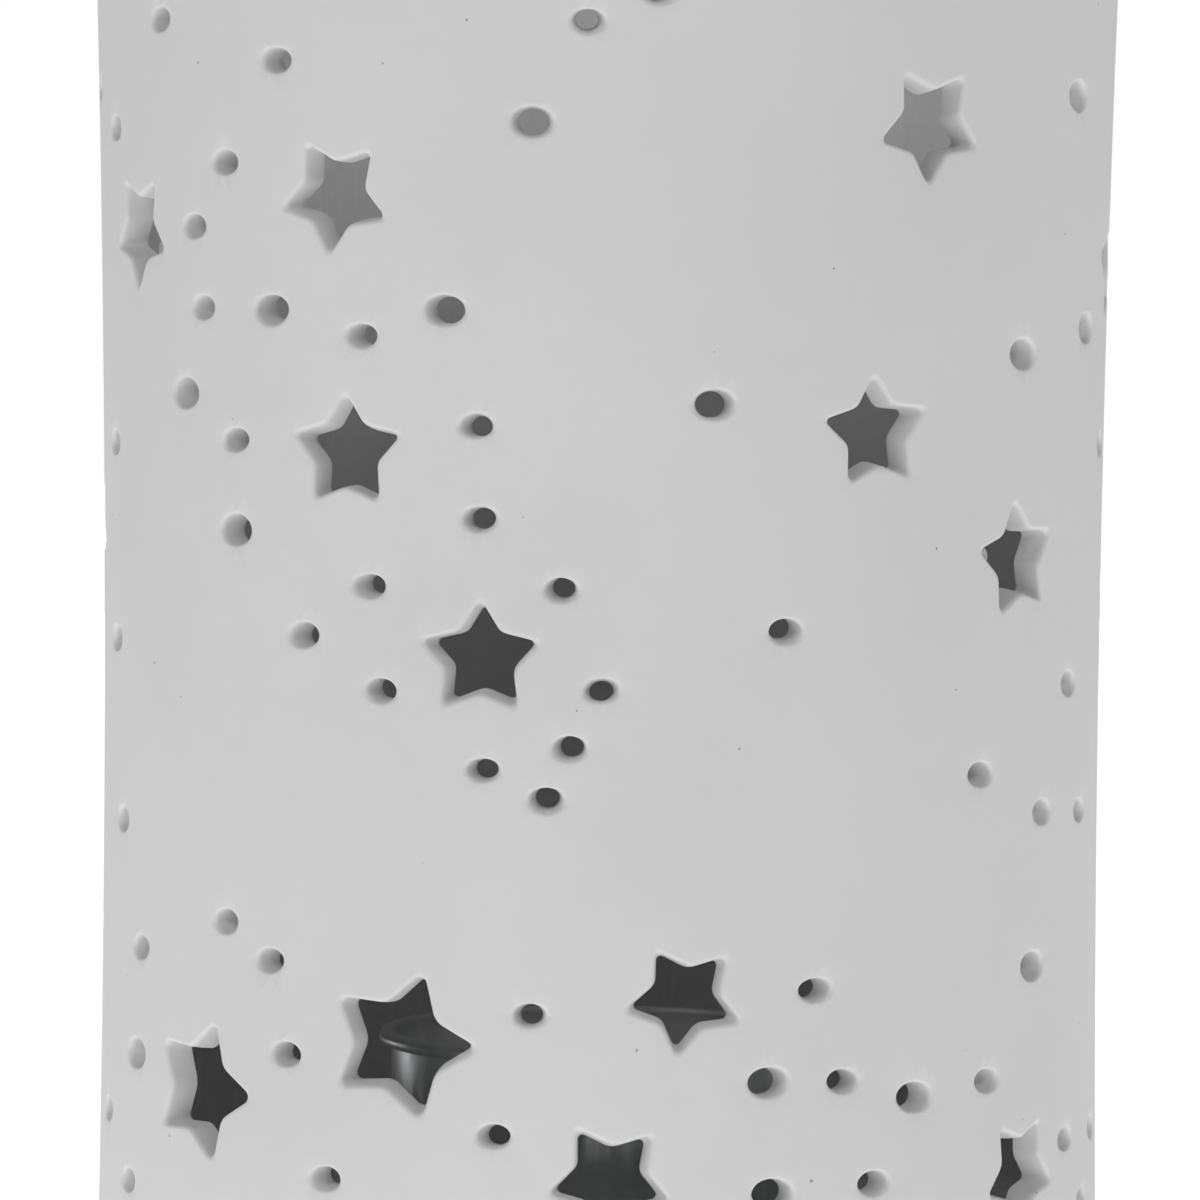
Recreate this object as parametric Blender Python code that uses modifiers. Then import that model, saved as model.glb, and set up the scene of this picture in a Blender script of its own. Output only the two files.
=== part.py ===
"""Tealight holder: a waisted porcelain lantern, pierced with stars and dots, and the tealight in it.

Metres, +Z up. The origin is the middle of the foot, on the surface that the lantern stands on.
Angles run round the lantern from its front, at -Y, towards +X.
"""
import math

import bmesh
import bpy
from mathutils import Matrix, Vector

# Lantern
HEIGHT = 0.140
WAIST_RADIUS = 0.045          # the wall's outside where it is narrowest
WAIST_HEIGHT = 0.045
RIM_FLARE = 0.0018            # how far the rim stands out past the waist
WALL = 0.0024
FLOOR = 0.0040
FOOT_RECESS = 0.0014          # the underside is raised inside the foot ring
FOOT_RING = 0.0042
FOOT_ROUND = 0.0009
INSIDE_ROUND = 0.0012         # fillet between the floor and the wall
WALL_ROWS = 5
ROUND_STEPS = 3
SHELL_SIDES = 48

# Piercings
STAR_RADIUS = 0.0050          # to the tips, on the outside
LARGE_STAR_RADIUS = 0.0064
STAR_VALLEY = 0.56            # valley radius over tip radius
STAR_TAPER = 0.0008           # how much smaller a star is on the inside
DOT_RADIUS = 0.0015
LARGE_DOT_RADIUS = 0.0018
DOT_TAPER = 0.0005
DOT_SIDES = 8
CUT_OVERSHOOT = 0.0012        # each cutter runs this far past both faces of the wall
PIERCED_ABOVE_FLOOR = 0.0028  # from the floor to the lowest line of the piercing plan
PIERCED_BELOW_RIM = 0.0118
PLAN_STEPS = 120              # the pierced band is this many steps high

# Tealight
CUP_RADIUS = 0.0190
CUP_HEIGHT = 0.0165
CUP_SHEET = 0.0004
CUP_BEAD = 0.0007             # the rolled edge stands out past the cup's side
WAX_HEIGHT = 0.0130
WAX_CROWN = 0.0008
WICK_RADIUS = 0.0008
WICK_STANDS_OUT = 0.0065
WICK_SIDES = 10
SUSTAINER_RADIUS = 0.0065
SUSTAINER_SHEET = 0.0005
SUSTAINER_NECK = 0.0030
NECK_SHEET = 0.0005
TEALIGHT_SIDES = 32
GAP = 0.0003                  # between pieces that touch

# The piercing plan: (angle in degrees, steps up the pierced band, turn of a star from pointing up)
STARS = [
    (-65, 86.5, 35), (-31, 90, 32), (38, 96.5, 35), (-29.5, 68, 0), (31.5, 70, 6), (-13.5, 50.5, 0),
    (54, 58.5, 6), (9.5, 21.5, 30), (1.5, 6, 30), (56, 4.5, 37), (-12, 113, 5), (58, 113, 33),
    (-78, 112, 0), (-88, 60, 32), (84, 84, 10), (93, 38, 34), (108, 106, 30), (112, 64, 2),
    (124, 24, 38), (136, 86, 5), (148, 46, 32), (160, 108, 0), (176, 70, 34), (178, 30, 6),
    (-163, 90, 30), (-158, 54, 2), (-140, 110, 34), (-133, 22, 8), (-124, 76, 36), (-112, 44, 4),
    (-104, 98, 31), (-92, 22, 5),
]
LARGE_STARS = [(-22.5, 17, 54), (-51, 11.5, 53), (104, 8, 20), (156, 22, 47), (-109, 9, 40)]
SMALL_DOTS = [
    (-58.5, 105), (-38.5, 101.5), (-72.5, 95.5), (-46.5, 92.7), (-52, 87), (-50.5, 80), (-27.5, 78),
    (-14, 70.5), (-45, 68.6), (-74.5, 67.5), (-13.5, 62.5), (-26.5, 56.5), (-4.5, 56.5), (20.5, 53),
    (-35, 52), (0, 48), (-25, 47.5), (-3.5, 43), (-13, 41), (47.5, 39.9), (-6, 38.5), (71.5, 35.5),
    (-46.5, 26.5), (-39.5, 23.5), (-64.5, 23), (24.5, 22), (-7.5, 20), (-37, 15.5), (28, 14), (49, 13),
    (-11.5, 9.5), (-76.5, 7.5), (79, 6.5), (67, 6.5), (-31.5, 5), (32, 5), (-67.5, 2), (73.5, 0.5),
]
LARGE_DOTS = [
    (65.5, 99), (-8, 96.5), (-17.5, 80.3), (-39.5, 80), (70.5, 78.5), (54, 76.5), (12, 72.5),
    (-54, 72.5), (-45, 60.8), (58, 22.5), (19, 14.2), (-65.5, 13.5), (37.5, 12.2), (19.5, 4.5),
]
# Trails of dots round the back: first dot, last dot, how many
DOT_TRAILS = [
    ((88, 101), (97, 93), 2), ((92, 74), (103, 78), 2), ((80, 68), (86, 55), 2),
    ((102, 52), (107, 30), 3), ((121, 95), (127, 79), 3), ((124, 56), (134, 63), 2),
    ((112, 21), (115, 35), 2), ((136, 35), (139, 14), 3), ((145, 99), (150, 74), 3),
    ((158, 57), (163, 34), 3), ((173, 92), (179, 105), 2), ((181, 59), (178, 46), 2),
    ((-172, 79), (-162, 70), 2), ((-169, 50), (-163, 28), 3), ((-152, 78), (-149, 97), 2),
    ((-142, 41), (-147, 24), 2), ((-138, 63), (-126, 56), 2), ((-121, 35), (-125, 17), 3),
    ((-126, 96), (-117, 110), 2), ((-113, 62), (-109, 84), 3), ((-98, 36), (-101, 53), 2),
    ((-92, 87), (-83, 99), 2), ((-74, 50), (-71, 34), 2), ((60, 36), (67, 47), 2),
    ((-2, 105), (13, 110), 3), ((28, 113), (42, 111.5), 2), ((-34, 112.5), (-48, 113), 2),
    ((-144, 9), (-118, 1.5), 2),
]
LARGE_TRAILS = [
    ((97, 114), (124, 111.5), 2), ((134, 101), (151, 112), 2), ((125, 41), (142, 8), 2),
    ((151, 62), (177, 15), 2), ((-172, 112), (-153, 39), 2), ((-135, 89), (-105, 25), 2),
]


def wall_radius(height):
    """Outside radius of the lantern: a shallow arc, narrowest at the waist."""
    reach = HEIGHT - WAIST_HEIGHT
    arc = (reach ** 2 + RIM_FLARE ** 2) / (2 * RIM_FLARE)
    return WAIST_RADIUS + arc - math.sqrt(arc ** 2 - (height - WAIST_HEIGHT) ** 2)


FLOOR_TOP = FOOT_RECESS + FLOOR
BAND_BOTTOM = FLOOR_TOP + PIERCED_ABOVE_FLOOR
BAND_TOP = HEIGHT - PIERCED_BELOW_RIM


def plan_height(steps):
    return BAND_BOTTOM + (BAND_TOP - BAND_BOTTOM) * steps / PLAN_STEPS


def clear_scene():
    for thing in list(bpy.data.objects):
        bpy.data.objects.remove(thing, do_unlink=True)


def new_collection(name):
    group = bpy.data.collections.new(name)
    bpy.context.scene.collection.children.link(group)
    return group


def material(name, colour, roughness, metallic=0.0):
    made = bpy.data.materials.new(name)
    made.use_nodes = True
    shader = made.node_tree.nodes["Principled BSDF"]
    shader.inputs["Base Color"].default_value = (*colour, 1.0)
    shader.inputs["Roughness"].default_value = roughness
    shader.inputs["Metallic"].default_value = metallic
    return made


def add_object(name, mesh, group, finish=None, parent=None):
    piece = bpy.data.objects.new(name, mesh)
    group.objects.link(piece)
    piece.parent = parent
    if finish:
        mesh.materials.append(finish)
    return piece


def add_empty(name, height, group, parent=None):
    """An empty on the lantern's axis, which carries what lifts out together."""
    empty = bpy.data.objects.new(name, None)
    group.objects.link(empty)
    empty.parent = parent
    empty.location = (0, 0, height)
    return empty


def turned(name, profile, sides, group, finish, parent=None):
    """A turned piece: a profile of (radius, height) points and a Screw modifier."""
    bm = bmesh.new()
    points = [bm.verts.new((radius, 0, height)) for radius, height in profile]
    for start, end in zip(points, points[1:]):
        bm.edges.new((start, end))
    if profile[0][0] > 0:
        bm.edges.new((points[-1], points[0]))
    mesh = bpy.data.meshes.new(name)
    bm.to_mesh(mesh)
    bm.free()
    piece = add_object(name, mesh, group, finish, parent)
    screw = piece.modifiers.new("Turn", "SCREW")
    screw.steps = screw.render_steps = sides
    screw.use_merge_vertices = True
    screw.merge_threshold = 0.00001
    screw.use_smooth_shade = True
    return piece


def corner(centre_radius, centre_height, size, start, end, steps=ROUND_STEPS):
    """Points along a rounded corner, from one angle to another, in degrees."""
    points = []
    for step in range(steps + 1):
        angle = math.radians(start + (end - start) * step / steps)
        points.append((centre_radius + size * math.cos(angle), centre_height + size * math.sin(angle)))
    return points


def wall_points(bottom, top, inset, downwards):
    heights = [bottom + (top - bottom) * row / WALL_ROWS for row in range(WALL_ROWS + 1)]
    if downwards:
        heights.reverse()
    return [(wall_radius(height) - inset, height) for height in heights]


def shell_profile():
    """From the middle of the floor up the inside, over the rim, down the outside and under the foot."""
    rim_round = WALL / 2
    rim_centre = HEIGHT - rim_round
    fillet_top = FLOOR_TOP + INSIDE_ROUND
    fillet_radius = wall_radius(fillet_top) - WALL - INSIDE_ROUND
    foot_outside = wall_radius(FOOT_ROUND)
    recess_radius = foot_outside - FOOT_RING
    profile = [(0, FLOOR_TOP)]
    profile += corner(fillet_radius, fillet_top, INSIDE_ROUND, -90, 0)[:-1]
    profile += wall_points(fillet_top, rim_centre, WALL, False)[:-1]
    profile += corner(wall_radius(rim_centre) - rim_round, rim_centre, rim_round, 180, 0, 2 * ROUND_STEPS)
    profile += wall_points(FOOT_ROUND, rim_centre, 0, True)[1:-1]
    profile += corner(foot_outside - FOOT_ROUND, FOOT_ROUND, FOOT_ROUND, 0, -90)
    profile += [(recess_radius, 0), (recess_radius - FOOT_RECESS, FOOT_RECESS), (0, FOOT_RECESS)]
    return profile


def star_outline(radius):
    """Corners of a five-pointed star, pointing up, counter-clockwise."""
    points = []
    for corner_number in range(10):
        reach = radius * (STAR_VALLEY if corner_number % 2 else 1.0)
        angle = math.radians(90 + 36 * corner_number)
        points.append((reach * math.cos(angle), reach * math.sin(angle)))
    return points


def dot_outline(radius):
    turn = 2 * math.pi / DOT_SIDES
    return [(radius * math.cos(turn * (side + 0.5)), radius * math.sin(turn * (side + 0.5)))
            for side in range(DOT_SIDES)]


def trail_dots(trails):
    dots = []
    for first, last, count in trails:
        for number in range(count):
            share = number / (count - 1)
            dots.append((first[0] + (last[0] - first[0]) * share, first[1] + (last[1] - first[1]) * share))
    return dots


def add_punch(bm, outline, radius, taper, angle, steps, turn=0.0):
    """One tapered punch, from outside the wall to inside it, square to the wall at its place."""
    height = plan_height(steps)
    outside = wall_radius(height)
    slope = taper / WALL
    place = Matrix.Rotation(math.radians(angle), 4, "Z") @ Matrix.Translation((0, 0, height))
    rings = []
    for depth in (-CUT_OVERSHOOT, WALL + CUT_OVERSHOOT):
        points = outline(radius - slope * depth)
        ring = []
        for across, up in points:
            spot = Matrix.Rotation(math.radians(turn), 4, "Y").inverted() @ Vector((across, 0, up))
            ring.append(bm.verts.new(place @ Vector((spot.x, depth - outside, spot.z))))
        rings.append(ring)
    outer, inner = rings
    bm.faces.new(outer)
    bm.faces.new(reversed(inner))
    count = len(outer)
    for side in range(count):
        after = (side + 1) % count
        bm.faces.new((outer[after], outer[side], inner[side], inner[after]))


def punches(name, places, outline, radius, taper, group):
    bm = bmesh.new()
    for place in places:
        add_punch(bm, outline, radius, taper, *place)
    mesh = bpy.data.meshes.new(name)
    bm.to_mesh(mesh)
    bm.free()
    cutter = add_object(name, mesh, group)
    cutter.hide_render = True
    cutter.display_type = "WIRE"
    return cutter


def lantern_shell(parts, cutters):
    porcelain = material("porcelain", (0.86, 0.86, 0.85), 0.62)
    shell = turned("lantern_shell", shell_profile(), SHELL_SIDES, parts, porcelain)
    dots = SMALL_DOTS + trail_dots(DOT_TRAILS)
    large_dots = LARGE_DOTS + trail_dots(LARGE_TRAILS)
    sets = [
        ("star_punches", STARS, star_outline, STAR_RADIUS, STAR_TAPER),
        ("large_star_punches", LARGE_STARS, star_outline, LARGE_STAR_RADIUS, STAR_TAPER),
        ("dot_punches", dots, dot_outline, DOT_RADIUS, DOT_TAPER),
        ("large_dot_punches", large_dots, dot_outline, LARGE_DOT_RADIUS, DOT_TAPER),
    ]
    for name, places, outline, radius, taper in sets:
        cut = shell.modifiers.new(name, "BOOLEAN")
        cut.operation = "DIFFERENCE"
        cut.solver = "EXACT"
        cut.object = punches(name, places, outline, radius, taper, cutters)
    return shell


def tealight_cup(parts, parent):
    """Pressed aluminium: a flat bottom, a straight side and a rolled edge."""
    aluminium = material("aluminium", (0.80, 0.81, 0.82), 0.30, 1.0)
    inside = CUP_RADIUS - CUP_SHEET
    bead_centre = CUP_HEIGHT - CUP_BEAD
    profile = [(0, CUP_SHEET), (inside, CUP_SHEET)]
    profile += corner(inside + CUP_BEAD, bead_centre, CUP_BEAD, 180, 0, 2 * ROUND_STEPS)
    profile += [(CUP_RADIUS, bead_centre - CUP_BEAD), (CUP_RADIUS, 0), (0, 0)]
    return turned("tealight_cup", profile, TEALIGHT_SIDES, parts, aluminium, parent)


def tealight_wax(parts, parent):
    """The wax, with the bore that the wick fills and the seat for the sustainer under it."""
    paraffin = material("paraffin", (0.90, 0.88, 0.82), 0.38)
    side = CUP_RADIUS - CUP_SHEET - GAP
    bore = WICK_RADIUS + GAP
    neck_bore = WICK_RADIUS + GAP + NECK_SHEET + GAP
    seat = SUSTAINER_RADIUS + GAP
    seat_top = SUSTAINER_SHEET + GAP
    neck_top = SUSTAINER_SHEET + SUSTAINER_NECK + GAP
    crown = []
    for step in range(ROUND_STEPS + 1):
        share = 1 - step / ROUND_STEPS
        crown.append((bore + (side - bore) * share, WAX_HEIGHT - WAX_CROWN * share ** 2))
    crown.reverse()
    profile = crown + [(side, 0), (seat, 0), (seat, seat_top)]
    profile += [(neck_bore, seat_top), (neck_bore, neck_top), (bore, neck_top)]
    return turned("tealight_wax", profile, TEALIGHT_SIDES, parts, paraffin, parent)


def tealight_wick(parts, parent):
    cotton = material("waxed_cotton", (0.88, 0.86, 0.80), 0.85)
    top = WAX_HEIGHT + WICK_STANDS_OUT
    profile = [(0, top), (WICK_RADIUS, top), (WICK_RADIUS, 0), (0, 0)]
    return turned("tealight_wick", profile, WICK_SIDES, parts, cotton, parent)


def wick_sustainer(parts, parent):
    """A flat tin disc with a neck round the wick's foot."""
    tin = material("tinned_steel", (0.72, 0.72, 0.72), 0.35, 1.0)
    bore = WICK_RADIUS + GAP
    neck = bore + NECK_SHEET
    neck_top = SUSTAINER_SHEET + SUSTAINER_NECK
    profile = [(bore, neck_top), (neck, neck_top), (neck, SUSTAINER_SHEET)]
    profile += [(SUSTAINER_RADIUS, SUSTAINER_SHEET), (SUSTAINER_RADIUS, 0), (bore, 0)]
    return turned("wick_sustainer", profile, TEALIGHT_SIDES // 2, parts, tin, parent)


def build():
    clear_scene()
    parts = new_collection("tealight_holder")
    cutters = new_collection("cutters")
    lantern_shell(parts, cutters)
    tealight = add_empty("tealight_lifts", FLOOR_TOP + GAP, parts)
    tealight_cup(parts, tealight)
    candle = add_empty("candle_lifts", CUP_SHEET + GAP, parts, tealight)
    tealight_wax(parts, candle)
    tealight_wick(parts, candle)
    wick_sustainer(parts, candle)


build()
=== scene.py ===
# A pierced porcelain lantern with a tealight standing in it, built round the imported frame
import math
import random

import bmesh
import bpy
from mathutils import Matrix, Vector, noise


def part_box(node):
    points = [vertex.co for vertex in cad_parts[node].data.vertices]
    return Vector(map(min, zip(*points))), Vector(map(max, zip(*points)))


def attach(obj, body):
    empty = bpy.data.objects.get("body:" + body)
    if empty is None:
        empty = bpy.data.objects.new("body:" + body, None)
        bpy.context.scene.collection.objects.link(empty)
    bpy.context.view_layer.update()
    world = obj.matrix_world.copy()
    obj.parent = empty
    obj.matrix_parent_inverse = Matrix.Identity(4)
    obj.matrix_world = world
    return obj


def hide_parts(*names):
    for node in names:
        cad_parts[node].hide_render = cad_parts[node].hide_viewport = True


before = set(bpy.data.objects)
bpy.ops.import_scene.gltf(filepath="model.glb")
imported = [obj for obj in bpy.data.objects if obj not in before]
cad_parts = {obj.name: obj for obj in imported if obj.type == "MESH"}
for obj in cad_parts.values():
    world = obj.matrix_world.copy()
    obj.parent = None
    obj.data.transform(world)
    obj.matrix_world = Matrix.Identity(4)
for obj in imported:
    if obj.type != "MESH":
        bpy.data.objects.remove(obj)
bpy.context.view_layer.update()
print("frame loaded")

# The camera stands in front, a little above the middle of the lantern, and looks slightly down
view = {
    "lookAt": (0, 0, 0.0612),
    "distance": 0.7664,
    "pitch": 3.5,
    "roll": 0.5,
    "lens": 253.5,
    "sensor": 36.0,
    "shiftX": -0.0019,
}


def makeCamera(opts):
    data = bpy.data.cameras.new("camera")
    data.lens = opts["lens"]
    data.sensor_width = opts["sensor"]
    data.shift_x = opts["shiftX"]
    data.clip_start = 0.01
    data.clip_end = 50
    camera = bpy.data.objects.new("camera", data)
    bpy.context.scene.collection.objects.link(camera)
    pitch = math.radians(opts["pitch"])
    back = Vector((0, -math.cos(pitch), math.sin(pitch)))
    camera.location = Vector(opts["lookAt"]) + back * opts["distance"]
    tilt = Matrix.Rotation(math.radians(90) - pitch, 4, "X")
    roll = Matrix.Rotation(math.radians(opts["roll"]), 4, "Z")
    camera.rotation_euler = (tilt @ roll).to_euler()
    bpy.context.scene.camera = camera


makeCamera(view)


def newPiece(name, bm):
    mesh = bpy.data.meshes.new(name)
    bm.to_mesh(mesh)
    bm.free()
    piece = bpy.data.objects.new(name, mesh)
    bpy.context.scene.collection.objects.link(piece)
    return piece


def smoothShade(piece, sharpAngle):
    piece.data.shade_smooth()
    piece.data.set_sharp_from_angle(angle=math.radians(sharpAngle))


def applyModifiers(piece):
    graph = bpy.context.evaluated_depsgraph_get()
    mesh = bpy.data.meshes.new_from_object(piece.evaluated_get(graph))
    piece.modifiers.clear()
    piece.data = mesh


def spinProfile(points, sides):
    # a turned body from (radius, height) points, up the inside and down the outside
    bm = bmesh.new()
    line = [bm.verts.new((radius, 0, height)) for radius, height in points]
    for start, end in zip(line, line[1:]):
        bm.edges.new((start, end))
    if points[0][0] > 0:
        bm.edges.new((line[-1], line[0]))
    bmesh.ops.spin(bm, geom=bm.verts[:] + bm.edges[:], cent=(0, 0, 0), axis=(0, 0, 1),
                   angle=2 * math.pi, steps=sides, use_merge=True)
    bmesh.ops.remove_doubles(bm, verts=bm.verts, dist=1e-6)
    bmesh.ops.recalc_face_normals(bm, faces=bm.faces)
    return bm


def arc(centreRadius, centreHeight, size, start, end, steps):
    points = []
    for step in range(steps + 1):
        angle = math.radians(start + (end - start) * step / steps)
        points.append((centreRadius + size * math.cos(angle), centreHeight + size * math.sin(angle)))
    return points


# The lantern's wall, floor and foot, with the same sizes as the frame's solid
lantern = {
    "height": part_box("lantern_shell")[1].z,
    "waistRadius": 0.045,
    "waistHeight": 0.045,
    "rimFlare": 0.0018,
    "wall": 0.0024,
    "floor": 0.0040,
    "footRecess": 0.0014,
    "footRing": 0.0042,
    "footRound": 0.0009,
    "insideRound": 0.0012,
    "floorRings": (0, 0.010, 0.020, 0.030, 0.038),
    "undersideRings": (0.030, 0.020, 0.010, 0),
    "rows": 60,
    "sides": 192,
    "cornerSteps": 6,
    "sharpAngle": 40,
}
floorTop = lantern["footRecess"] + lantern["floor"]


def wallRadius(height):
    reach = lantern["height"] - lantern["waistHeight"]
    flare = lantern["rimFlare"]
    sweep = (reach ** 2 + flare ** 2) / (2 * flare)
    return lantern["waistRadius"] + sweep - math.sqrt(sweep ** 2 - (height - lantern["waistHeight"]) ** 2)


def lanternProfile():
    wall = lantern["wall"]
    steps = lantern["cornerSteps"]
    rows = lantern["rows"]
    rimRound = wall / 2
    rimCentre = lantern["height"] - rimRound
    fillet = lantern["insideRound"]
    footRound = lantern["footRound"]
    filletTop = floorTop + fillet
    footOutside = wallRadius(footRound)
    recess = footOutside - lantern["footRing"]
    inside = [filletTop + (rimCentre - filletTop) * row / rows for row in range(rows)]
    outside = [rimCentre + (footRound - rimCentre) * row / rows for row in range(1, rows)]
    points = [(radius, floorTop) for radius in lantern["floorRings"]]
    points += arc(wallRadius(filletTop) - wall - fillet, filletTop, fillet, -90, 0, steps)[:-1]
    points += [(wallRadius(height) - wall, height) for height in inside]
    points += arc(wallRadius(rimCentre) - rimRound, rimCentre, rimRound, 180, 0, 2 * steps)
    points += [(wallRadius(height), height) for height in outside]
    points += arc(footOutside - footRound, footRound, footRound, 0, -90, steps)
    points += arc(recess - lantern["footRecess"], 0, lantern["footRecess"], 0, 90, steps)
    points += [(radius, lantern["footRecess"]) for radius in lantern["undersideRings"]]
    return points


# How a punch opens the wall: a straight taper from the inside, and a lip sponged round on the outside
punch = {
    "proud": 0.0005,          # the punch stands out of both faces of the wall
    "lipDepth": 0.00055,
    "lipSteps": 5,
    "taperShare": 0.42,       # how much of the opening's growth is taper, the rest being the lip
    "starSize": 0.00465,      # corner of the star before rounding, on the inside
    "largeStarSize": 0.00615,
    "starShape": {"valley": 0.56, "tipRound": 0.090, "valleyRound": 0.30},
    "starGrows": {"tip": 0.00130, "valley": 0.00075, "tipRound": 0.00010, "valleyRound": -0.00010},
    "starStretch": (1.06, 0.97),
    "arcSteps": 5,
    "dotSize": (0.00096, 0.00083),
    "largeDotSize": (0.00130, 0.00110),
    "dotGrows": (0.00112, 0.00046),
    "dotSides": 28,
    "leanMost": 0.00022,      # how far a punch wanders off square by the inside of the wall
    "turnMost": 2.0,
    "sizeMost": 0.03,
    "wobble": 0.00012,
    "wobbleScale": 300,
    "spread": 50,             # how far apart the punches read the wobble
    "seed": 11,
}

# The piercing plan: (angle in degrees, steps up the pierced band, turn of a star from pointing up)
plan = {
    "aboveFloor": 0.0028,
    "belowRim": 0.0118,
    "steps": 120,
    "stars": [
        (-65, 86.5, 35), (-31, 90, 32), (38, 96.5, 35), (-29.5, 68, 0), (31.5, 70, 6), (-13.5, 50.5, 0),
        (54, 58.5, 6), (9.5, 21.5, 30), (1.5, 6, 30), (56, 4.5, 37), (-12, 113, 5), (58, 113, 33),
        (-78, 112, 0), (-88, 60, 32), (84, 84, 10), (93, 38, 34), (108, 106, 30), (112, 64, 2),
        (124, 24, 38), (136, 86, 5), (148, 46, 32), (160, 108, 0), (176, 70, 34), (178, 30, 6),
        (-163, 90, 30), (-158, 54, 2), (-140, 110, 34), (-133, 22, 8), (-124, 76, 36), (-112, 44, 4),
        (-104, 98, 31), (-92, 22, 5),
    ],
    "largeStars": [
        (-22.5, 17, 54), (-51, 11.5, 53), (104, 8, 20), (156, 22, 47), (-109, 9, 40),
    ],
    "dots": [
        (-58.5, 105), (-38.5, 101.5), (-72.5, 95.5), (-46.5, 92.7), (-52, 87), (-50.5, 80), (-27.5, 78),
        (-14, 70.5), (-45, 68.6), (-74.5, 67.5), (-13.5, 62.5), (-26.5, 56.5), (-4.5, 56.5), (20.5, 53),
        (-35, 52), (0, 48), (-25, 47.5), (-3.5, 43), (-13, 41), (47.5, 39.9), (-6, 38.5), (71.5, 35.5),
        (-46.5, 26.5), (-39.5, 23.5), (-64.5, 23), (24.5, 22), (-7.5, 20), (-37, 15.5), (28, 14), (49, 13),
        (-11.5, 9.5), (-76.5, 7.5), (79, 6.5), (67, 6.5), (-31.5, 5), (32, 5), (-67.5, 2), (73.5, 0.5),
    ],
    "largeDots": [
        (65.5, 99), (-8, 96.5), (-17.5, 80.3), (-39.5, 80), (70.5, 78.5), (54, 76.5), (12, 72.5),
        (-54, 72.5), (-45, 60.8), (58, 22.5), (19, 14.2), (-65.5, 13.5), (37.5, 12.2), (19.5, 4.5),
    ],
    # trails of dots round the back: first dot, last dot, how many
    "trails": [
        ((88, 101), (97, 93), 2), ((92, 74), (103, 78), 2), ((80, 68), (86, 55), 2),
        ((102, 52), (107, 30), 3), ((121, 95), (127, 79), 3), ((124, 56), (134, 63), 2),
        ((112, 21), (115, 35), 2), ((136, 35), (139, 14), 3), ((145, 99), (150, 74), 3),
        ((158, 57), (163, 34), 3), ((173, 92), (179, 105), 2), ((181, 59), (178, 46), 2),
        ((-172, 79), (-162, 70), 2), ((-169, 50), (-163, 28), 3), ((-152, 78), (-149, 97), 2),
        ((-142, 41), (-147, 24), 2), ((-138, 63), (-126, 56), 2), ((-121, 35), (-125, 17), 3),
        ((-126, 96), (-117, 110), 2), ((-113, 62), (-109, 84), 3), ((-98, 36), (-101, 53), 2),
        ((-92, 87), (-83, 99), 2), ((-74, 50), (-71, 34), 2), ((60, 36), (67, 47), 2),
        ((-2, 105), (13, 110), 3), ((28, 113), (42, 111.5), 2), ((-34, 112.5), (-48, 113), 2),
        ((-144, 9), (-118, 1.5), 2),
    ],
    "largeTrails": [
        ((97, 114), (124, 111.5), 2), ((134, 101), (151, 112), 2), ((125, 41), (142, 8), 2),
        ((151, 62), (177, 15), 2), ((-172, 112), (-153, 39), 2), ((-135, 89), (-105, 25), 2),
    ],
}


def planHeight(steps):
    low = floorTop + plan["aboveFloor"]
    high = lantern["height"] - plan["belowRim"]
    return low + (high - low) * steps / plan["steps"]


def trailDots(trails):
    dots = []
    for first, last, count in trails:
        for number in range(count):
            share = number / (count - 1)
            dots.append((first[0] + (last[0] - first[0]) * share, first[1] + (last[1] - first[1]) * share))
    return dots


def starOutline(size, spread):
    # straight sides with an arc at each tip and each valley; spread runs from 0 inside to 1 outside
    grows = punch["starGrows"]
    shape = punch["starShape"]
    tip = size + grows["tip"] * spread
    valley = size * shape["valley"] + grows["valley"] * spread
    tipRound = size * shape["tipRound"] + grows["tipRound"] * spread
    valleyRound = size * shape["valleyRound"] + grows["valleyRound"] * spread
    across = valley * math.sin(math.radians(36))
    along = tip - valley * math.cos(math.radians(36))
    tipHalf = math.atan2(across, along)
    valleyHalf = tipHalf + math.radians(36)
    tipArc = (tip - tipRound / math.sin(tipHalf), tipRound, tipHalf - math.pi / 2)
    valleyArc = (valley + valleyRound / math.sin(valleyHalf), valleyRound, math.pi * 1.5 - valleyHalf)
    points = []
    for corner in range(10):
        way = math.radians(90 + 36 * corner)
        centre, radius, first = valleyArc if corner % 2 else tipArc
        last = math.pi * 2 - first if corner % 2 else -first
        for step in range(punch["arcSteps"] + 1):
            angle = way + first + (last - first) * step / punch["arcSteps"]
            points.append((centre * math.cos(way) + radius * math.cos(angle),
                           centre * math.sin(way) + radius * math.sin(angle)))
    return points


def dotOutline(size, spread):
    # a little wider than high, and sponged away most at its sides
    across = size[0] + punch["dotGrows"][0] * spread
    high = size[1] + punch["dotGrows"][1] * spread
    side = 2 * math.pi / punch["dotSides"]
    return [(across * math.cos(side * number), high * math.sin(side * number))
            for number in range(punch["dotSides"])]


def punchSections():
    # (depth under the outside of the wall, spread of the outline) from outside to inside
    share = punch["taperShare"]
    deep = punch["lipDepth"]
    sections = [(-punch["proud"], 1)]
    for step in range(punch["lipSteps"] + 1):
        angle = math.radians(90 * step / punch["lipSteps"])
        sections.append((deep * (1 - math.cos(angle)), share + (1 - share) * (1 - math.sin(angle))))
    sections.append(((deep + lantern["wall"]) / 2, share / 2))
    sections.append((lantern["wall"] + punch["proud"], 0))
    return sections


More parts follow.
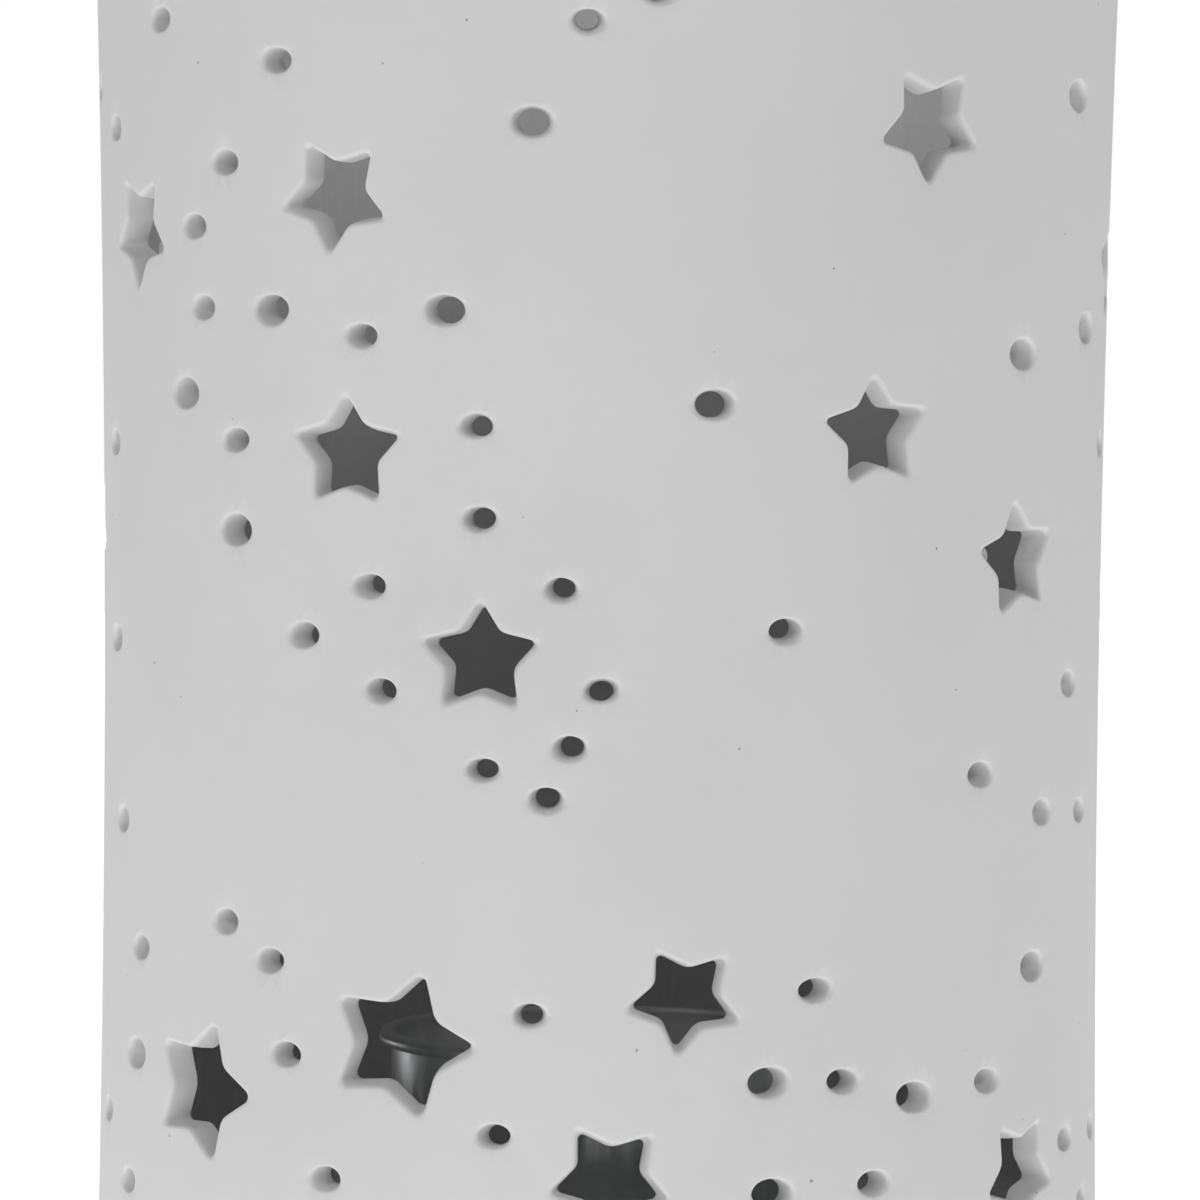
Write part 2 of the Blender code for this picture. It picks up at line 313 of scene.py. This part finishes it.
def flatPunch(outline, size):
    # a punch laid out flat: x across, y up, z depth
    bm = bmesh.new()
    loops = []
    for depth, spread in punchSections():
        ring = [bm.verts.new((x, y, depth)) for x, y in outline(size, spread)]
        loops.append([bm.edges.new((ring[side - 1], ring[side])) for side in range(len(ring))])
    for upper, lower in zip(loops, loops[1:]):
        bmesh.ops.bridge_loops(bm, edges=upper + lower)
    for end in (loops[0], loops[-1]):
        bmesh.ops.contextual_create(bm, geom=end)
    bmesh.ops.recalc_face_normals(bm, faces=bm.faces)
    if bm.calc_volume(signed=True) > 0:
        # laying it on the wall turns it over
        bmesh.ops.reverse_faces(bm, faces=bm.faces)
    mesh = bpy.data.meshes.new("flatPunch")
    bm.to_mesh(mesh)
    bm.free()
    return mesh


def ontoWall(angle, height, across, up, depth):
    radius = wallRadius(height + up) - depth
    turn = math.radians(angle) + across / wallRadius(height)
    return Vector((radius * math.sin(turn), -radius * math.cos(turn), height + up))


def addPunch(bm, template, stretch, place, rng):
    angle = place[0]
    height = planHeight(place[1])
    turn = math.radians((place[2] if len(place) > 2 else 0) + rng.uniform(-1, 1) * punch["turnMost"])
    size = 1 + rng.uniform(-1, 1) * punch["sizeMost"]
    lean = Vector((rng.uniform(-1, 1), rng.uniform(-1, 1))) * punch["leanMost"] / lantern["wall"]
    offset = Vector((rng.uniform(0, punch["spread"]), rng.uniform(0, punch["spread"]), 0))
    before = len(bm.verts)
    bm.from_mesh(template)
    bm.verts.ensure_lookup_table()
    for vert in bm.verts[before:]:
        depth = vert.co.z
        flat = Vector((vert.co.x, vert.co.y, 0))
        flat += noise.noise_vector(flat * punch["wobbleScale"] + offset) * punch["wobble"]
        flat = Matrix.Rotation(turn, 3, "Z") @ (flat * size)
        across = flat.x * stretch[0] + lean.x * depth
        up = flat.y * stretch[1] + lean.y * depth
        vert.co = ontoWall(angle, height, across, up, depth)


def makePunches():
    rng = random.Random(punch["seed"])
    bm = bmesh.new()
    star = punch["starStretch"]
    sets = [
        (starOutline, punch["starSize"], star, plan["stars"]),
        (starOutline, punch["largeStarSize"], star, plan["largeStars"]),
        (dotOutline, punch["dotSize"], (1, 1), plan["dots"] + trailDots(plan["trails"])),
        (dotOutline, punch["largeDotSize"], (1, 1), plan["largeDots"] + trailDots(plan["largeTrails"])),
    ]
    for outline, size, stretch, places in sets:
        template = flatPunch(outline, size)
        for place in places:
            addPunch(bm, template, stretch, place, rng)
        bpy.data.meshes.remove(template)
    return newPiece("punches", bm)


def makeLantern(bisque, glaze):
    bm = spinProfile(lanternProfile(), lantern["sides"])
    for face in bm.faces:
        centre = face.calc_center_median()
        inward = math.hypot(centre.x, centre.y) < wallRadius(centre.z) - lantern["wall"] / 2
        if inward and centre.z > lantern["footRecess"] + lantern["floor"] / 2:
            face.material_index = 1
    piece = newPiece("pierced_porcelain", bm)
    piece.data.materials.append(bisque)
    piece.data.materials.append(glaze)
    punches = makePunches()
    punches.data.materials.append(bisque)
    cut = piece.modifiers.new("piercings", "BOOLEAN")
    cut.operation = "DIFFERENCE"
    cut.solver = "MANIFOLD"
    cut.object = punches
    applyModifiers(piece)
    bpy.data.objects.remove(punches)
    smoothShade(piece, lantern["sharpAngle"])
    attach(piece, "lantern")
    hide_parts("lantern_shell")
    print("lantern pierced:", len(piece.data.polygons), "faces")
    return piece


# Shader maths as expressions, and any other node from one method
class Value:
    def __init__(self, finish, socket):
        self.finish = finish
        self.socket = socket

    def __add__(self, other):
        return self.finish.maths("ADD", self, other)

    def __sub__(self, other):
        return self.finish.maths("SUBTRACT", self, other)

    def __rsub__(self, other):
        return self.finish.maths("SUBTRACT", other, self)

    def __mul__(self, other):
        return self.finish.maths("MULTIPLY", self, other)

    __radd__ = __add__
    __rmul__ = __mul__


class Finish:
    def __init__(self, name, roughness, metallic=0.0, settings=None):
        self.material = bpy.data.materials.new(name)
        self.material.use_nodes = True
        self.tree = self.material.node_tree
        self.shader = self.tree.nodes["Principled BSDF"]
        self.shader.inputs["Roughness"].default_value = roughness
        self.shader.inputs["Metallic"].default_value = metallic
        for socket, value in (settings or {}).items():
            self.shader.inputs[socket].default_value = value
        self.place = self.node("ShaderNodeTexCoord", {}, {}, "Object")

    def node(self, kind, settings, inputs, output=0):
        made = self.tree.nodes.new(kind)
        for key, value in settings.items():
            setattr(made, key, value)
        for key, value in inputs.items():
            self.feed(made.inputs[key], value)
        return Value(self, made.outputs[output])

    def feed(self, socket, value):
        if isinstance(value, Value):
            self.tree.links.new(value.socket, socket)
        else:
            socket.default_value = value

    def maths(self, operation, first, second):
        return self.node("ShaderNodeMath", {"operation": operation}, {0: first, 1: second})

    def part(self, vector, axis):
        return self.node("ShaderNodeSeparateXYZ", {}, {0: vector}, axis)

    def join(self, x, y, z):
        return self.node("ShaderNodeCombineXYZ", {}, {0: x, 1: y, 2: z})

    def noise(self, size, detail=3.0, roughness=0.55, place=None):
        inputs = {"Vector": place or self.place, "Scale": 1 / size, "Detail": detail, "Roughness": roughness}
        return self.node("ShaderNodeTexNoise", {}, inputs, "Fac")

    def cells(self, size, feature="F1", place=None, output="Distance", flat=False):
        settings = {"feature": feature, "voronoi_dimensions": "2D" if flat else "3D"}
        inputs = {"Vector": place or self.place, "Scale": 1 / size}
        return self.node("ShaderNodeTexVoronoi", settings, inputs, output)

    def stretched(self, share):
        # the place, with marks drawn out up and down
        return self.node("ShaderNodeMapping", {}, {"Vector": self.place, "Scale": (1.0, 1.0, share)})

    def band(self, value, start, end):
        # 0 below start, 1 above end, smooth between
        return self.node("ShaderNodeMapRange", {"interpolation_type": "SMOOTHSTEP"},
                         {"Value": value, "From Min": start, "From Max": end})

    def blend(self, share, first, second, mode="MIX"):
        colours = [(*colour, 1.0) if isinstance(colour, tuple) else colour for colour in (first, second)]
        return self.node("ShaderNodeMix", {"data_type": "RGBA", "blend_type": mode},
                         {0: share, 6: colours[0], 7: colours[1]}, 2)

    def bump(self, height, distance, under=None):
        inputs = {"Height": height, "Distance": distance}
        if under:
            inputs["Normal"] = under
        return self.node("ShaderNodeBump", {}, inputs)

    def colour(self, value):
        self.feed(self.shader.inputs["Base Color"], value)

    def rough(self, value):
        self.feed(self.shader.inputs["Roughness"], value)

    def normal(self, value):
        self.feed(self.shader.inputs["Normal"], value)


def unrolled(finish, radius):
    # the wall laid flat: distance round it and height
    across = finish.maths("ARCTAN2", finish.part(finish.place, "X"), finish.part(finish.place, "Y") * -1.0)
    return finish.join(across * radius, finish.part(finish.place, "Z"), 0.0)


bisqueLook = {
    "white": (0.80, 0.80, 0.80),
    "shade": (0.77, 0.77, 0.77),
    "speck": (0.20, 0.18, 0.16),
    "dust": (0.60, 0.58, 0.55),
    "roughness": 0.72,
    "shine": 0.35,
    "patchSize": 0.030,
    "grainSize": 0.00035,
    "grainDepth": 0.000012,
    "rubSize": 0.004,
    "rubDepth": 0.00003,
    "speckSpacing": 0.022,
    "speckSize": 0.00016,
    "speckVaries": 0.009,     # distance over which the specks change size
    "speckRagged": 0.00012,
    "speckStrength": 0.75,
    "dustTop": 0.0016,        # height of the dirt line on the foot ring
    "dustSize": 0.0016,
    "dustStrength": 0.55,
}


def bisqueFinish(opts):
    finish = Finish("bisque_porcelain", opts["roughness"], settings={"Specular IOR Level": opts["shine"]})
    flat = unrolled(finish, lantern["waistRadius"])
    patches = finish.band(finish.noise(opts["patchSize"], 4.0, 0.6), 0.35, 0.70)
    body = finish.blend(patches, opts["white"], opts["shade"])
    # stray specks of iron and dust in the clay, of uneven size
    near = finish.cells(opts["speckSpacing"], place=flat, flat=True) * opts["speckSpacing"]
    size = finish.noise(opts["speckVaries"], 1.0, 0.5, flat) * opts["speckSize"] * 1.6
    ragged = finish.noise(0.0002, 2.0, 0.6) * opts["speckRagged"]
    specks = 1.0 - finish.band(near + ragged - size, -0.00004, 0.00006)
    body = finish.blend(specks * opts["speckStrength"], body, opts["speck"])
    # the foot ring picks up a little dirt from the table
    low = 1.0 - finish.band(finish.part(finish.place, "Z"), 0.0002, opts["dustTop"])
    worn = finish.band(finish.noise(opts["dustSize"], 4.0, 0.65), 0.40, 0.75)
    body = finish.blend(low * worn * opts["dustStrength"], body, opts["dust"])
    finish.colour(body)
    grain = finish.noise(opts["grainSize"], 3.0, 0.6)
    rub = finish.noise(opts["rubSize"], 3.0, 0.5)
    finish.rough(opts["roughness"] - 0.10 * rub + 0.08 * grain)
    soft = finish.bump(rub, opts["rubDepth"])
    finish.normal(finish.bump(grain, opts["grainDepth"], under=soft))
    return finish.material


glazeLook = {
    # painted shade and painted light: deep is the inner wall's colour as painted shade lower down, pale its
    # colour as painted light near the rim
    "deep": (0.62, 0.62, 0.62),
    "pale": (0.88, 0.88, 0.88),
    "paintedLightFrom": 0.082,        # painted light: the inner wall turns from painted shade below to painted light above between these heights
    "paintedLightTo": 0.101,
    "pooled": (0.91, 0.92, 0.92),
    "poolSize": 0.010,
    "runStretch": 0.25,       # the glaze runs down the wall, so its marks are stretched upright
    "roughness": 0.22,
    "waveSize": 0.007,
    "waveDepth": 0.00010,
    "pinholeSpacing": 0.006,
    "pinholeDepth": 0.3,      # share of a wave
}


def glazeFinish(opts):
    finish = Finish("glazed_porcelain", opts["roughness"], settings={"Specular IOR Level": 0.5})
    runs = finish.stretched(opts["runStretch"])
    pooled = finish.band(finish.noise(opts["poolSize"], 3.0, 0.55, runs), 0.40, 0.68)
    low = 1.0 - finish.band(finish.part(finish.place, "Z"), floorTop, floorTop + 0.003)
    # painted light and shade: the inner wall is coloured pale near the rim, as if lit from above, and deep
    # grey lower down, as painted shade
    high = finish.band(finish.part(finish.place, "Z"), opts["paintedLightFrom"], opts["paintedLightTo"])
    body = finish.blend(high, opts["deep"], opts["pale"])
    finish.colour(finish.blend(pooled * 0.7 + low * 0.3, body, opts["pooled"], "MULTIPLY"))
    holes = 1.0 - finish.band(finish.cells(opts["pinholeSpacing"]), 0.02, 0.05)
    waves = finish.noise(opts["waveSize"], 2.0, 0.5, runs)
    finish.rough(opts["roughness"] + 0.10 * pooled + 0.3 * holes)
    finish.normal(finish.bump(waves - opts["pinholeDepth"] * holes, opts["waveDepth"]))
    return finish.material


# The tealight's cup: thin pressed aluminium, its side drawn into pleats under a rolled edge
cup = {
    "low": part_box("tealight_cup")[0].z,
    "high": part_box("tealight_cup")[1].z,
    "bead": 0.0007,
    "outside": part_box("tealight_cup")[1].x,
    "sheet": 0.0003,
    "baseRadius": 0.0181,
    "baseRound": 0.0012,
    "ribRadius": 0.0120,
    "ribHalf": 0.0008,
    "ribDepth": 0.0002,
    "curlEnd": -70,           # where the rolled edge stops outside, then turns back in
    "tuckEnd": 40,
    "tuckInset": 0.8,         # share of the sheet
    "lipRound": 0.00012,
    "cornerStretch": 0.9,
    "pleats": 54,
    "pleatDepth": 0.00016,
    "pleatFall": 3.2,         # the pleats fade out this many bead sizes under the rim
    "pleatPeak": 1.15,
    "pleatVaries": 6,
    "sidesPerPleat": 8,
    "rows": 14,
    "sharpAngle": 35,
}


def cupProfile():
    sheet = cup["sheet"]
    bead = cup["bead"]
    beadCentre = cup["outside"] - bead
    beadHeight = cup["high"] - bead
    neck = beadCentre - bead
    base = cup["baseRadius"]
    turn = cup["baseRound"]
    low = cup["low"]
    side = [row / cup["rows"] for row in range(cup["rows"] + 1)]
    sideLow = low + turn
    inner = [(base + (neck - base) * up, sideLow + (beadHeight - sideLow) * up) for up in side]
    outer = [(radius + sheet, height) for radius, height in reversed(inner)]
    rib = cup["ribRadius"]
    lip = cup["lipRound"]
    points = [(0, low + sheet), (rib - cup["ribHalf"], low + sheet)]
    points += [(rib, low + sheet + cup["ribDepth"]), (rib + cup["ribHalf"], low + sheet)]
    points += arc(base - turn, low + turn + sheet, turn, -90, 0, 5)[:-1]
    points += inner[1:-1]
    points += arc(beadCentre, beadHeight, bead, 180, cup["curlEnd"], 12)
    points += arc(beadCentre, beadHeight, bead - sheet * cup["tuckInset"], cup["curlEnd"], cup["tuckEnd"], 5)
    points += arc(neck + sheet + lip, beadHeight, lip, 60, 180, 3)
    points += outer[1:-1]
    points += arc(base - turn, low + turn, turn + sheet * cup["cornerStretch"], 0, -90, 5)[1:-1]
    points += [(base - turn, low), (0, low)]
    return points


def makeCup(finish):
    bm = spinProfile(cupProfile(), cup["pleats"] * cup["sidesPerPleat"])
    rise = cup["low"] + cup["baseRound"]
    fall = cup["high"] - cup["pleatFall"] * cup["bead"]
    for vert in bm.verts:
        radius = math.hypot(vert.co.x, vert.co.y)
        if radius > cup["baseRadius"] - cup["baseRound"] and rise < vert.co.z < fall:
            share = (vert.co.z - rise) / (fall - rise)
            fade = math.sin(math.pi * min(1, share * cup["pleatPeak"])) ** 0.5
            angle = math.atan2(vert.co.y, vert.co.x)
            around = Vector((math.cos(angle), math.sin(angle), share))
            uneven = 0.7 + 0.5 * noise.noise(around * cup["pleatVaries"])
            push = -cup["pleatDepth"] * fade * uneven * (0.5 - 0.5 * math.cos(angle * cup["pleats"]))
            vert.co.x *= (radius + push) / radius
            vert.co.y *= (radius + push) / radius
    piece = newPiece("pressed_cup", bm)
    piece.data.materials.append(finish)
    smoothShade(piece, cup["sharpAngle"])
    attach(piece, "tealight")
    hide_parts("tealight_cup")
    print("cup pressed")


cupLook = {
    "bright": (0.80, 0.81, 0.82),
    "dull": (0.66, 0.67, 0.69),
    "roughness": 0.26,
    "streak": 0.0003,
    "streakDepth": 0.000006,
    "streakStretch": 0.04,
    "dullSize": 0.006,
    "crinkle": 0.0022,
    "crinkleDepth": 0.00003,
}


def aluminiumFinish(opts):
    finish = Finish("pressed_aluminium", opts["roughness"], 1.0)
    drawn = finish.stretched(opts["streakStretch"])
    streaks = finish.noise(opts["streak"], 3.0, 0.6, drawn)
    dull = finish.band(finish.noise(opts["dullSize"], 4.0, 0.6), 0.42, 0.72)
    finish.colour(finish.blend(dull * 0.6 + streaks * 0.3, opts["bright"], opts["dull"]))
    finish.rough(opts["roughness"] + 0.14 * streaks + 0.12 * dull)
    crinkle = finish.noise(opts["crinkle"], 3.0, 0.6)
    marks = finish.bump(crinkle, opts["crinkleDepth"])
    finish.normal(finish.bump(streaks, opts["streakDepth"], under=marks))
    return finish.material


# The wax: poured round the wick, with a low meniscus at both
wax = {
    "low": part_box("tealight_wax")[0].z,
    "high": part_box("tealight_wax")[1].z,
    "side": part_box("tealight_wax")[1].x,
    "edgeRound": 0.0007,
    "edgeRise": 0.00035,
    "edgeFall": 16,           # how sharply the meniscus falls from the edge, and from the wick
    "collarFall": 14,
    "dish": 0.0009,
    "footChamfer": 0.0004,
    "boreRing": 0.009,        # heights of the plain rings in the bore and down the side
    "sideRing": 0.006,
    "bore": 0.0011,
    "neckBore": 0.0019,
    "neckTop": 0.0038,
    "seat": 0.0068,
    "seatTop": 0.0008,
    "sides": 144,
    "rings": 26,
    "ringCrowding": 1.4,
    "ripple": 0.00006,
    "rippleScale": 180,
    "rippleDrop": 0.6,
    "rippleZone": 0.002,
    "sharpAngle": 40,
}


def waxTop(radius):
    # highest round the wick, dished between it and the edge
    share = (radius - wax["bore"]) / (wax["side"] - wax["edgeRound"] - wax["bore"])
    collar = math.exp(-share * wax["collarFall"])
    edge = math.exp(-(1 - share) * wax["edgeFall"])
    return wax["high"] - wax["dish"] * (1 - collar) + wax["edgeRise"] * edge


def waxProfile():
    low = wax["low"]
    side = wax["side"]
    turn = wax["edgeRound"]
    span = side - turn - wax["bore"]
    crowding = wax["ringCrowding"]
    rings = [wax["bore"] + span * (ring / wax["rings"]) ** crowding for ring in range(wax["rings"])]
    points = [(wax["bore"], low + wax["neckTop"]), (wax["bore"], low + wax["boreRing"])]
    points += [(radius, waxTop(radius)) for radius in rings]
    points += arc(side - turn, waxTop(side - turn) - turn, turn, 90, 0, 5)
    chamfer = wax["footChamfer"]
    points += [(side, low + wax["sideRing"]), (side, low + chamfer), (side - chamfer, low)]
    points += [(wax["seat"], low), (wax["seat"], low + wax["seatTop"])]
    points += [(wax["neckBore"], low + wax["seatTop"]), (wax["neckBore"], low + wax["neckTop"])]
    return points


def makeWax(finish):
    bm = spinProfile(waxProfile(), wax["sides"])
    for vert in bm.verts:
        if vert.co.z > wax["high"] - wax["rippleZone"]:
            vert.co.z += wax["ripple"] * (noise.noise(vert.co * wax["rippleScale"]) - wax["rippleDrop"])
    piece = newPiece("poured_wax", bm)
    piece.data.materials.append(finish)
    smoothShade(piece, wax["sharpAngle"])
    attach(piece, "candle")
    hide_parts("tealight_wax")
    print("wax poured")


waxLook = {
    "clear": (0.88, 0.86, 0.79),
    "frost": (0.93, 0.92, 0.88),
    "roughness": 0.36,
    "frostSize": 0.0016,
    "frostDepth": 0.00004,
    "cloudSize": 0.005,
    "glow": 0.35,
    "glowReach": 0.002,
    "glowColour": (1.0, 0.8, 0.55),
}


def waxFinish(opts):
    finish = Finish("paraffin", opts["roughness"], settings={
        "Subsurface Weight": opts["glow"],
        "Subsurface Radius": opts["glowColour"],
        "Subsurface Scale": opts["glowReach"],
    })
    frost = finish.band(finish.cells(opts["frostSize"], "SMOOTH_F1"), 0.15, 0.75)
    cloud = finish.band(finish.noise(opts["cloudSize"], 4.0, 0.6), 0.38, 0.70)
    finish.colour(finish.blend(frost * 0.4 + cloud * 0.5, opts["clear"], opts["frost"]))
    finish.rough(opts["roughness"] + 0.16 * cloud)
    finish.normal(finish.bump(frost + 0.5 * cloud, opts["frostDepth"]))
    return finish.material


# The wick: strands twisted together, leaning a little where it is free
wick = {
    "low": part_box("tealight_wick")[0].z,
    "high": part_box("tealight_wick")[1].z,
    "radius": 0.00070,
    "lobe": 0.00010,
    "strands": 4,
    "around": 32,
    "steps": 60,
    "twist": 1500,
    "freeFrom": 0.014,
    "lean": 0.0010,
    "leanSideways": 0.4,      # share of the lean
    "closeOver": 0.0015,      # the strands close in towards the top
    "closeBy": 0.30,
    "sharpAngle": 50,
}


def wickCentre(up):
    free = max(0.0, up - wick["freeFrom"])
    reach = wick["high"] - wick["low"] - wick["freeFrom"]
    return Vector((wick["lean"], wick["lean"] * wick["leanSideways"])) * (free / reach) ** 2


def makeWick(finish):
    height = wick["high"] - wick["low"]
    bm = bmesh.new()
    bmesh.ops.create_circle(bm, cap_ends=True, segments=wick["around"], radius=wick["radius"])
    for vert in bm.verts:
        angle = math.atan2(vert.co.y, vert.co.x)
        size = wick["radius"] + wick["lobe"] * abs(math.cos(angle * wick["strands"] / 2)) - wick["lobe"] / 2
        vert.co = Vector((size * math.cos(angle), size * math.sin(angle), 0))
    top = bm.faces[:]
    for step in range(wick["steps"]):
        made = bmesh.ops.extrude_face_region(bm, geom=top)["geom"]
        bmesh.ops.delete(bm, geom=top, context="FACES_ONLY")
        top = [item for item in made if isinstance(item, bmesh.types.BMFace)]
        moved = [item for item in made if isinstance(item, bmesh.types.BMVert)]
        bmesh.ops.translate(bm, verts=moved, vec=(0, 0, height / wick["steps"]))
        bmesh.ops.rotate(bm, verts=moved, cent=(0, 0, 0),
                         matrix=Matrix.Rotation(math.radians(wick["twist"]) / wick["steps"], 3, "Z"))
    edges = [edge for edge in bm.edges if edge.is_boundary]
    if edges:
        bmesh.ops.contextual_create(bm, geom=edges)
    for vert in bm.verts:
        lean = wickCentre(vert.co.z)
        above = vert.co.z - height + wick["closeOver"]
        if above > 0:
            close = 1 - wick["closeBy"] * (above / wick["closeOver"]) ** 2
            vert.co.x *= close
            vert.co.y *= close
        vert.co += Vector((lean.x, lean.y, wick["low"]))
    bmesh.ops.recalc_face_normals(bm, faces=bm.faces)
    piece = newPiece("twisted_wick", bm)
    piece.data.materials.append(finish)
    smoothShade(piece, wick["sharpAngle"])
    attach(piece, "candle")
    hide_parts("tealight_wick")
    print("wick twisted")


wickLook = {
    "white": (0.86, 0.84, 0.78),
    "shade": (0.70, 0.67, 0.60),
    "roughness": 0.78,
    "waxShine": 0.35,
    "fuzz": 0.2,
    "threadSize": 0.00012,
    "threadStretch": 0.3,
    "threadDepth": 0.00003,
    "waxSize": 0.0011,
}


def wickFinish(opts):
    finish = Finish("waxed_cotton", opts["roughness"], settings={"Sheen Weight": opts["fuzz"]})
    fibres = finish.stretched(opts["threadStretch"])
    thread = finish.noise(opts["threadSize"], 3.0, 0.65, fibres)
    waxed = finish.band(finish.noise(opts["waxSize"], 3.0, 0.6), 0.40, 0.62)
    finish.colour(finish.blend(thread * 0.7, opts["white"], opts["shade"]))
    finish.rough(opts["roughness"] - opts["waxShine"] * waxed)
    finish.normal(finish.bump(thread, opts["threadDepth"]))
    return finish.material


# The sustainer keeps its solid from the frame, and gets its metal here
tinLook = {
    "bright": (0.74, 0.74, 0.73),
    "dull": (0.58, 0.58, 0.58),
    "roughness": 0.24,
    "spangleSize": 0.0016,
    "rubSize": 0.0005,
    "rubDepth": 0.000008,
}


def tinFinish(opts):
    finish = Finish("tinned_steel", opts["roughness"], 1.0)
    spangle = finish.cells(opts["spangleSize"], output="Color")
    tone = finish.part(spangle, "X")
    rub = finish.noise(opts["rubSize"], 3.0, 0.6)
    finish.colour(finish.blend(tone * 0.5 + rub * 0.3, opts["bright"], opts["dull"]))
    finish.rough(opts["roughness"] + 0.14 * tone + 0.12 * rub)
    finish.normal(finish.bump(rub, opts["rubDepth"]))
    return finish.material


bisque = bisqueFinish(bisqueLook)
makeLantern(bisque, glazeFinish(glazeLook))
makeCup(aluminiumFinish(cupLook))
makeWax(waxFinish(waxLook))
makeWick(wickFinish(wickLook))
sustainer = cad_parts["wick_sustainer"]
sustainer.data.materials.clear()
sustainer.data.materials.append(tinFinish(tinLook))


# A pale table under a soft, even studio light
studio = {
    "tableReach": 0.95,
    "tableWhite": (0.90, 0.90, 0.90),
    "tableRoughness": 0.8,
    "tableGlow": 0.80,
    "backdrop": 1.0,
    "ambient": 0.0,
    "lightAim": (0, 0, 0.07),
    "lights": [
        # name, azimuth from the front, elevation, distance, width, height, power
        ("key_left", -48, 29, 1.2, 0.4, 0.2, 1.3),
        ("over_left", -45, 41, 1.2, 0.9, 0.25, 1.9),
        ("over_right", 45, 41, 1.2, 0.9, 0.25, 2.6),
        ("side_left", -76, 6, 1.0, 0.7, 0.7, 0.4),
        ("side_right", 76, 8, 1.0, 0.7, 0.7, 0.4),
        ("over_top", 0, 89, 1.0, 0.6, 0.6, 0.8),
        ("back_left", -150, 8, 1.1, 0.8, 0.7, 2.4),
        ("back_right", 150, 8, 1.1, 0.8, 0.7, 2.4),
    ],
}


def makeTable(opts):
    bm = bmesh.new()
    bmesh.ops.create_grid(bm, x_segments=1, y_segments=1, size=opts["tableReach"])
    table = newPiece("table", bm)
    finish = Finish("table_white", opts["tableRoughness"])
    finish.shader.inputs["Base Color"].default_value = (*opts["tableWhite"], 1.0)
    finish.shader.inputs["Emission Color"].default_value = (1, 1, 1, 1)
    finish.shader.inputs["Emission Strength"].default_value = opts["tableGlow"]
    table.data.materials.append(finish.material)


def makeLights(opts):
    for name, azimuth, elevation, distance, width, height, power in opts["lights"]:
        data = bpy.data.lights.new(name, "AREA")
        data.shape = "RECTANGLE"
        data.size = width
        data.size_y = height
        data.energy = power
        lamp = bpy.data.objects.new(name, data)
        bpy.context.scene.collection.objects.link(lamp)
        turn = math.radians(azimuth)
        rise = math.radians(elevation)
        away = Vector((math.sin(turn) * math.cos(rise), -math.cos(turn) * math.cos(rise), math.sin(rise)))
        lamp.location = Vector(opts["lightAim"]) + away * distance
        lamp.rotation_euler = away.to_track_quat("Z", "Y").to_euler()
        lamp.visible_camera = False
        lamp.visible_glossy = False


def makeWorld(opts):
    world = bpy.data.worlds.new("studio")
    bpy.context.scene.world = world
    world.use_nodes = True
    nodes = world.node_tree.nodes
    links = world.node_tree.links
    seen = nodes["Background"]
    seen.inputs["Color"].default_value = (1, 1, 1, 1)
    seen.inputs["Strength"].default_value = opts["backdrop"]
    felt = nodes.new("ShaderNodeBackground")
    felt.inputs["Color"].default_value = (1, 1, 1, 1)
    felt.inputs["Strength"].default_value = opts["ambient"]
    rays = nodes.new("ShaderNodeLightPath")
    mix = nodes.new("ShaderNodeMixShader")
    links.new(rays.outputs["Is Camera Ray"], mix.inputs[0])
    links.new(felt.outputs[0], mix.inputs[1])
    links.new(seen.outputs[0], mix.inputs[2])
    links.new(mix.outputs[0], nodes["World Output"].inputs["Surface"])


makeTable(studio)
makeLights(studio)
makeWorld(studio)
bpy.context.scene.view_settings.view_transform = "Standard"
print("studio lit")
